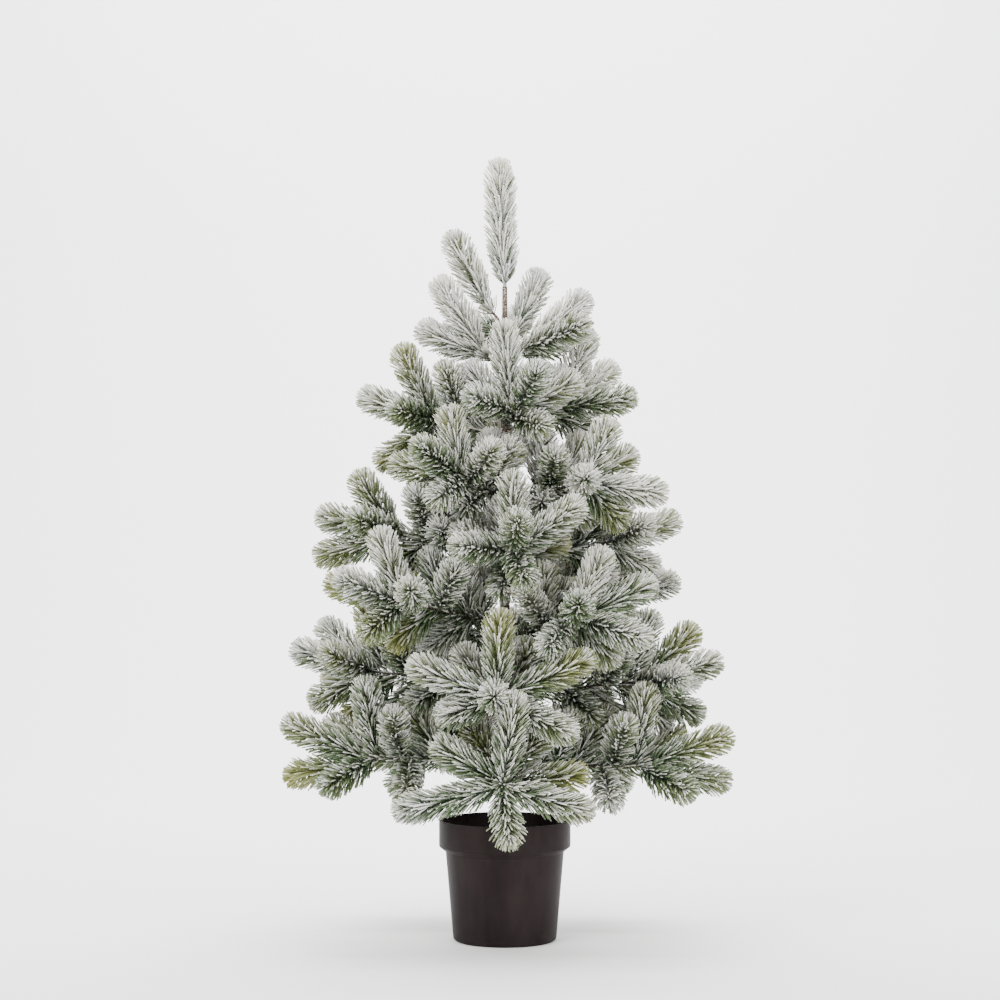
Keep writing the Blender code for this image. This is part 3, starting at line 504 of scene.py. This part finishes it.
# For each tip: distance of its foot back from the wire's end, turn left, rise (degrees), length.
SPRAYS = {
    "front_hub": (
        (0.000, 4, -46, 0.082),
        (0.004, -84, -15, 0.126),
        (0.006, 78, -18, 0.108),
        (0.008, -4, 80, 0.110),
        (0.018, -84, 28, 0.094),
        (0.040, 82, 2, 0.098),
        (0.062, 60, 44, 0.084),
        (0.080, -44, 50, 0.084),
    ),
    "star": (
        (0.000, 4, 72, 0.104),
        (0.004, -80, 16, 0.110),
        (0.008, 76, 20, 0.122),
        (0.012, 62, -22, 0.108),
        (0.020, -62, -14, 0.078),
        (0.050, 58, 46, 0.086),
        (0.064, -58, 44, 0.084),
        (0.006, 8, 2, 0.072),
        (0.084, 10, 62, 0.082),
    ),
    "side_hub": (
        (0.000, 14, 17, 0.108),
        (0.006, 30, -16, 0.110),
        (0.008, -26, -20, 0.090),
        (0.012, -6, 74, 0.100),
        (0.020, 62, 18, 0.098),
        (0.052, -64, -20, 0.094),
        (0.040, -52, 44, 0.088),
        (0.090, 40, 60, 0.084),
        (0.108, -36, 56, 0.080),
    ),
    "low": (
        (0.000, 6, 4, 0.096),
        (0.010, 54, -10, 0.104),
        (0.020, -52, -6, 0.102),
        (0.006, -8, 58, 0.100),
        (0.004, 12, -36, 0.078),
        (0.050, 64, 26, 0.094),
        (0.062, -62, 24, 0.092),
        (0.090, 34, 62, 0.084),
        (0.108, -36, 58, 0.080),
    ),
    "side": (
        (0.000, 4, 10, 0.098),
        (0.006, -14, 24, 0.096),
        (0.010, 52, 4, 0.100),
        (0.008, -36, -10, 0.098),
        (0.020, 16, 60, 0.094),
        (0.006, -6, -32, 0.088),
        (0.048, 66, 34, 0.090),
        (0.056, -64, 30, 0.090),
        (0.084, 24, 62, 0.082),
        (0.104, -60, 34, 0.080),
        (0.064, 10, -56, 0.074),
        (0.092, 34, -40, 0.072),
        (0.030, -8, -42, 0.084),
    ),
    "full": (
        (0.000, 6, 2, 0.096),
        (0.010, 54, -8, 0.100),
        (0.020, -52, -6, 0.098),
        (0.006, -8, 56, 0.096),
        (0.004, 12, -42, 0.080),
        (0.048, 66, 30, 0.090),
        (0.056, -64, 28, 0.090),
        (0.082, 24, 60, 0.082),
        (0.070, -20, -44, 0.074),
        (0.104, -60, 34, 0.080),
        (0.112, 30, 58, 0.084),
    ),
    "spread": (
        (0.000, 14, -28, 0.100),
        (0.006, 56, 18, 0.104),
        (0.010, -38, 2, 0.092),
        (0.008, 20, 50, 0.092),
        (0.012, -70, -30, 0.080),
        (0.044, 72, -8, 0.086),
        (0.050, -74, 30, 0.086),
        (0.066, -20, 64, 0.080),
        (0.004, 44, -52, 0.072),
        (0.080, 58, 40, 0.078),
        (0.088, -24, -34, 0.078),
    ),
    "fan": (
        (0.000, -4, 6, 0.094),
        (0.010, 52, 12, 0.104),
        (0.018, -52, 0, 0.094),
        (0.006, 10, 54, 0.092),
        (0.004, -10, -38, 0.078),
        (0.044, 70, 32, 0.086),
        (0.054, -66, 28, 0.086),
        (0.068, -14, 62, 0.080),
        (0.050, -24, -46, 0.076),
        (0.078, 62, 10, 0.080),
    ),
    "wide_fan": (
        (0.000, -4, 6, 0.094),
        (0.010, 52, 12, 0.104),
        (0.018, -52, 0, 0.094),
        (0.006, 10, 54, 0.092),
        (0.004, -10, -38, 0.078),
        (0.044, 70, 32, 0.086),
        (0.054, -66, 28, 0.086),
        (0.068, -14, 62, 0.080),
        (0.050, 24, -42, 0.072),
        (0.078, 62, 10, 0.080),
        (0.100, -26, 60, 0.082),
        (0.106, 24, -40, 0.078),
    ),
    "left_fan": (
        (0.000, -4, 0, 0.092),
        (0.010, 52, 12, 0.098),
        (0.018, -52, 0, 0.094),
        (0.006, 10, 36, 0.090),
        (0.004, -10, -24, 0.102),
        (0.044, 60, 46, 0.092),
        (0.054, -60, 40, 0.092),
        (0.068, -14, 62, 0.080),
        (0.050, 24, -42, 0.072),
        (0.078, 62, 10, 0.080),
        (0.090, -20, 60, 0.082),
    ),
    "hand": (
        (0.000, 0, 4, 0.090),
        (0.010, 54, 2, 0.092),
        (0.016, -54, 6, 0.090),
        (0.006, 6, 54, 0.086),
        (0.004, -6, -36, 0.072),
        (0.040, 66, 38, 0.082),
        (0.048, -66, 34, 0.080),
        (0.050, -8, -40, 0.070),
        (0.062, -20, 66, 0.076),
    ),
    "back_hand": (
        (0.000, 0, 4, 0.090),
        (0.010, 54, 2, 0.092),
        (0.016, -54, 6, 0.090),
        (0.006, 6, 54, 0.086),
        (0.004, -6, -36, 0.072),
        (0.040, 66, 38, 0.082),
        (0.048, -66, 34, 0.080),
        (0.050, -8, -40, 0.070),
        (0.062, -20, 66, 0.076),
        (0.078, 60, 40, 0.084),
        (0.086, -60, 44, 0.080),
    ),
    "right_hand": (
        (0.000, 4, -24, 0.094),
        (0.010, 54, 14, 0.088),
        (0.016, -54, 6, 0.090),
        (0.006, 6, 54, 0.086),
        (0.004, -6, -48, 0.072),
        (0.040, 66, 38, 0.082),
        (0.048, -66, 34, 0.080),
        (0.050, 10, -40, 0.070),
        (0.062, -20, 66, 0.076),
        (0.074, 30, -50, 0.070),
        (0.060, -50, -20, 0.074),
    ),
    "front_posy": (
        (0.000, 4, 0, 0.086),
        (0.008, 56, 2, 0.086),
        (0.012, -56, 4, 0.086),
        (0.022, -10, 52, 0.114),
        (0.020, 16, -42, 0.072),
        (0.030, 70, 40, 0.084),
        (0.034, -68, 52, 0.088),
    ),
    "right_posy": (
        (0.000, 4, 8, 0.092),
        (0.008, 36, -18, 0.100),
        (0.012, -56, 4, 0.086),
        (0.004, 10, 38, 0.100),
        (0.020, 16, -42, 0.072),
        (0.030, 70, 40, 0.078),
        (0.034, -68, 40, 0.078),
    ),
    "left_posy": (
        (0.000, 4, 0, 0.094),
        (0.008, 56, 2, 0.086),
        (0.012, -56, 4, 0.086),
        (0.000, 6, 44, 0.096),
        (0.012, 10, -50, 0.098),
        (0.034, 64, 56, 0.094),
        (0.034, -68, 48, 0.084),
    ),
    "three": (
        (0.000, 10, 0, 0.096),
        (0.004, -24, -18, 0.102),
        (0.010, 66, -6, 0.080),
    ),
    "crown_back": (
        (0.000, 4, 4, 0.084),
        (0.010, -30, -20, 0.088),
        (0.014, -72, 0, 0.080),
    ),
    "left_pair": (
        (0.000, 4, 10, 0.106),
        (0.004, -10, -17, 0.090),
    ),
    "single": ((0.000, 0, 10, 0.102),),
}

# Name, root above the rim, compass angle, rise, wire length, spray, hand and roll.
BRANCHES = (
    ("tier1_front", 0.060, -91, -2, 0.146, "front_hub", 1, 0),
    ("tier1_right", 0.062, -20, 2, 0.160, "side_hub", 1, 4),
    ("tier1_back_right", 0.058, 52, 2, 0.160, "low", -1, -8),
    ("tier1_back_left", 0.063, 124, 0, 0.162, "low", 1, 10),
    ("tier1_left", 0.070, -160, 2, 0.156, "side_hub", -1, -4),
    ("tier2_front", 0.136, -94, 6, 0.122, "star", 1, 0),
    ("tier2_right", 0.144, -6, 6, 0.152, "side", -1, 8),
    ("tier2_back", 0.131, 86, 8, 0.146, "full", 1, -10),
    ("tier2_left", 0.154, 176, 6, 0.148, "side", 1, 6),
    ("tier3_front_right", 0.212, -50, 11, 0.122, "spread", 1, 0),
    ("tier3_back_right", 0.222, 38, 12, 0.146, "wide_fan", -1, 8),
    ("tier3_back_left", 0.206, 130, 12, 0.140, "wide_fan", 1, 0),
    ("tier3_front_left", 0.226, -142, 11, 0.144, "wide_fan", -1, 8),
    ("tier4_front", 0.292, -84, 14, 0.098, "fan", 1, 10),
    ("tier4_right", 0.302, 6, 8, 0.116, "hand", -1, -6),
    ("tier4_back", 0.286, 97, 16, 0.112, "back_hand", 1, 8),
    ("tier4_left", 0.312, -173, 8, 0.124, "left_fan", 1, -8),
    ("tier5_front_left", 0.370, -126, 17, 0.082, "hand", -1, 6),
    ("tier5_right", 0.372, -24, 8, 0.098, "right_hand", 1, 8),
    ("tier5_back", 0.382, 104, 24, 0.086, "hand", 1, -6),
    ("tier6_front", 0.446, -74, 28, 0.054, "front_posy", 1, 8),
    ("tier6_back_right", 0.448, 26, 24, 0.072, "right_posy", -1, 0),
    ("tier6_left", 0.440, 172, 16, 0.080, "left_posy", 1, -8),
    ("crown_right", 0.528, -14, 36, 0.026, "three", 1, 0),
    ("crown_left", 0.520, -166, 40, 0.024, "left_pair", 1, 0),
    ("crown_back", 0.548, 56, 46, 0.026, "crown_back", -1, 0),
    ("crown_upper_left", 0.572, 178, 50, 0.020, "single", 1, 0),
)

WIRE_RADIUS = 0.0014
CLEARANCE = 0.0003
CEMENT_DEPTH = 0.044
TAPE_FOOT_RADIUS = 0.0078
TAPE_TOP_RADIUS = 0.0029
TAPE_TOP = 0.612
FLUFF_ROUNDS = 40
FLUFF_RADIUS = 0.0165
FLUFF_PUSH = 0.22
FLUFF_HOME = 0.10
FLUFF_SHARES = (0.40, 0.70, 1.0)
FLUFF_END = 0.6
FLUFF_TRUNK = 1.6
FLUFF_LEADER = (0.1, 0.4, 0.7, 1.0)


def branch_frame(row):
    """Root point of a branch and its forward, left and up directions."""
    height, compass, rise = row[1:4]
    roll = row[7]
    turn = Matrix.Rotation(math.radians(compass), 3, "Z")
    tilt = Matrix.Rotation(math.radians(-rise), 3, "Y")
    spin = Matrix.Rotation(math.radians(roll), 3, "X")
    share = min(max((height + CEMENT_DEPTH) / (TAPE_TOP + CEMENT_DEPTH), 0.0), 1.0)
    trunk = TAPE_FOOT_RADIUS + (TAPE_TOP_RADIUS - TAPE_FOOT_RADIUS) * share
    root = turn @ Vector((trunk + WIRE_RADIUS + CLEARANCE, 0, 0)) + Vector((0, 0, POT_HEIGHT + height))
    return root, turn @ tilt @ spin


def first_set(rows):
    """Foot, direction, length and branch number of every tip as the spray is wired up."""
    feet, ways, lengths, owners = [], [], [], []
    for number, row in enumerate(rows):
        root, turned = branch_frame(row)
        reach, spray, hand = row[4:7]
        for back, left, rise, length in SPRAYS[spray]:
            swing = Matrix.Rotation(math.radians(left * hand), 3, "Z")
            lift = Matrix.Rotation(math.radians(-rise), 3, "Y")
            feet.append(root + turned @ Vector((reach - back, 0.0, 0.0)))
            ways.append(turned @ swing @ lift @ Vector((1.0, 0.0, 0.0)))
            lengths.append(length)
            owners.append(number)
    return np.array(feet), np.array(ways), np.array(lengths), np.array(owners)


def fluffed(feet, ways, lengths):
    """The directions after the tips have been spread apart into the gaps between them."""
    shares = np.array(FLUFF_SHARES)
    owner = np.repeat(np.arange(len(feet)), len(shares))
    weight = np.tile(shares, len(feet))
    upright = np.array([(0.0, 0.0, LEADER_FOOT + LEADER_LENGTH * s) for s in FLUFF_LEADER])
    apart = owner[:, None] != owner[None, :]
    now = ways.copy()
    for _ in range(FLUFF_ROUNDS):
        reach = (lengths[:, None] * shares - FLUFF_END * FLUFF_RADIUS)[:, :, None]
        dots = (feet[:, None] + now[:, None] * reach).reshape(-1, 3)
        gap = dots[:, None] - dots[None, :]
        far = np.linalg.norm(gap, axis=2) + 1e-9
        press = np.clip(2 * FLUFF_RADIUS - far, 0, None) * apart
        push = (gap / far[:, :, None] * press[:, :, None]).sum(axis=1)
        rim = np.hypot(dots[:, 0], dots[:, 1]) + 1e-9
        trunk = np.clip(FLUFF_TRUNK * FLUFF_RADIUS - rim, 0, None) / rim
        push[:, :2] += dots[:, :2] * trunk[:, None]
        lead = dots[:, None] - upright[None, :]
        off = np.linalg.norm(lead, axis=2) + 1e-9
        squeeze = np.clip(2 * FLUFF_RADIUS - off, 0, None)
        push += (lead / off[:, :, None] * squeeze[:, :, None]).sum(axis=1)
        moved = np.zeros_like(ways)
        np.add.at(moved, owner, push * weight[:, None])
        now = now + FLUFF_PUSH * moved / lengths[:, None] + FLUFF_HOME * (ways - now)
        now /= np.linalg.norm(now, axis=1)[:, None]
    return now


FROST_MEAN = 0.53
FROST_RISING = 0.16
FROST_HIGH = 0.36
FROST_BEHIND = 0.22
FROST_WIDE = 0.6
FROST_LEFT = 0.12


def tip_look(foot, way, length, seed):
    """How frosted a tip is and how much yellow-green growth it shows."""
    rng = np.random.default_rng(1000 + seed)
    end = foot + way * length
    high = max(end[2] - 0.35, 0)
    wide = max(abs(end[0]) - 0.14, 0)
    frost = FROST_MEAN + FROST_RISING * way[2] + FROST_HIGH * high + rng.uniform(-0.22, 0.20)
    frost -= FROST_BEHIND * max(way[1], 0) + FROST_WIDE * wide
    leftward = min(max(-end[0] / 0.12, 0), 1)
    frost -= FROST_LEFT * leftward
    growth = rng.uniform(0.0, 1.0) * (1.1 + 0.2 * leftward) * (1 - 0.9 * max(-way[1] - 0.1, 0))
    return min(frost, 0.9), growth * (1.0 - 0.6 * max(min((end[2] - 0.55) / 0.3, 1), 0))


BARE_WIRE = 0.010
BARE_LOW = 0.050
LOW_TIER = 0.100
PAST_WIRE = 0.012
WIRE_GIRTH = 0.85
WIRE_PITCH = 0.0006
feet, ways, lengths, owners = first_set(BRANCHES)
ways = fluffed(feet, ways, lengths)
for number, row in enumerate(BRANCHES):
    name = row[0]
    parts = []
    for i in np.flatnonzero(owners == number):
        look = tip_look(feet[i], ways[i], lengths[i], int(i))
        parts.append(grow_tip(feet[i], ways[i], lengths[i], 100 + int(i), look))
    root, turned = branch_frame(row)
    forward = np.array(turned @ Vector((1.0, 0.0, 0.0)))
    height, wire_length = row[1], row[4]
    start = BARE_LOW if height < LOW_TIER else BARE_WIRE
    wire_look = (0.42 + 0.8 * max(height - 0.30, 0), 0.2)
    parts.append(grow_tip(np.array(root) + forward * start, forward,
                          wire_length - start + PAST_WIRE, 500 + number, wire_look,
                          lean=0.0, girth=WIRE_GIRTH, bare=0.0, pitch=WIRE_PITCH))
    spray = tip_mesh(name + "_needles", parts, frosted)
    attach(spray, name + "_branch")
    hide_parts(name + "_branch_tips")
    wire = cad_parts[name + "_branch_wire"]
    wire.data.materials.clear()
    wire.data.materials.append(wire_tape_paint)


# ------------------------------------------------------------------------------------------------
# Studio. A white floor that sweeps up into a white backdrop, large soft lights in front and above,
# and a level camera three metres off.

def white_paint():
    paint, _, _, shader = new_paint("studio_white")
    shader.inputs["Base Color"].default_value = (0.93, 0.93, 0.93, 1.0)
    shader.inputs["Roughness"].default_value = 0.9
    return paint


def backdrop():
    """Floor and wall joined by a wide curve."""
    section = [(-4.0, 0.0), (1.5, 0.0)]
    for k in range(1, 13):
        a = math.radians(90 * k / 12)
        section.append((1.5 + 1.2 * math.sin(a), 1.2 - 1.2 * math.cos(a)))
    section.append((2.7, 4.5))
    verts = [(x, y, z) for y, z in section for x in (-5.0, 5.0)]
    faces = [(2 * i, 2 * i + 1, 2 * i + 3, 2 * i + 2) for i in range(len(section) - 1)]
    mesh = bpy.data.meshes.new("studio_sweep")
    mesh.from_pydata(verts, [], faces)
    mesh.shade_smooth()
    mesh.materials.append(white_paint())
    sweep = bpy.data.objects.new("studio_sweep", mesh)
    bpy.context.scene.collection.objects.link(sweep)
    return sweep


def soft_light(name, place, aim_at, size, watts):
    lamp = bpy.data.lights.new(name, "AREA")
    lamp.shape = "RECTANGLE"
    lamp.size, lamp.size_y = size
    lamp.energy = watts
    holder = bpy.data.objects.new(name, lamp)
    holder.location = place
    way = Vector(aim_at) - Vector(place)
    holder.rotation_euler = way.to_track_quat("-Z", "Y").to_euler()
    bpy.context.scene.collection.objects.link(holder)


backdrop()
soft_light("key_left", (-1.7, -2.2, 1.9), (0, 0, 0.45), (1.4, 1.8), 104)
soft_light("fill_right", (1.9, -2.0, 1.2), (0, 0, 0.45), (1.4, 1.8), 50)
soft_light("top", (0, -0.2, 2.4), (0, 0, 0.4), (2.0, 2.0), 74)
soft_light("backdrop_light", (0, 0.9, 2.6), (0, 2.5, 0.9), (3.0, 0.8), 210)

world = bpy.data.worlds.new("studio")
world.use_nodes = True
world.node_tree.nodes["Background"].inputs["Color"].default_value = (1.0, 1.0, 1.0, 1.0)
world.node_tree.nodes["Background"].inputs["Strength"].default_value = 0.62
bpy.context.scene.world = world

lens = bpy.data.cameras.new("camera")
lens.lens = 94.0
lens.sensor_width = 36.0
camera = bpy.data.objects.new("camera", lens)
camera.location = (-0.0055, -3.0, 0.505)
camera.rotation_euler = (math.radians(90), 0.0, 0.0)
bpy.context.scene.collection.objects.link(camera)
bpy.context.scene.camera = camera
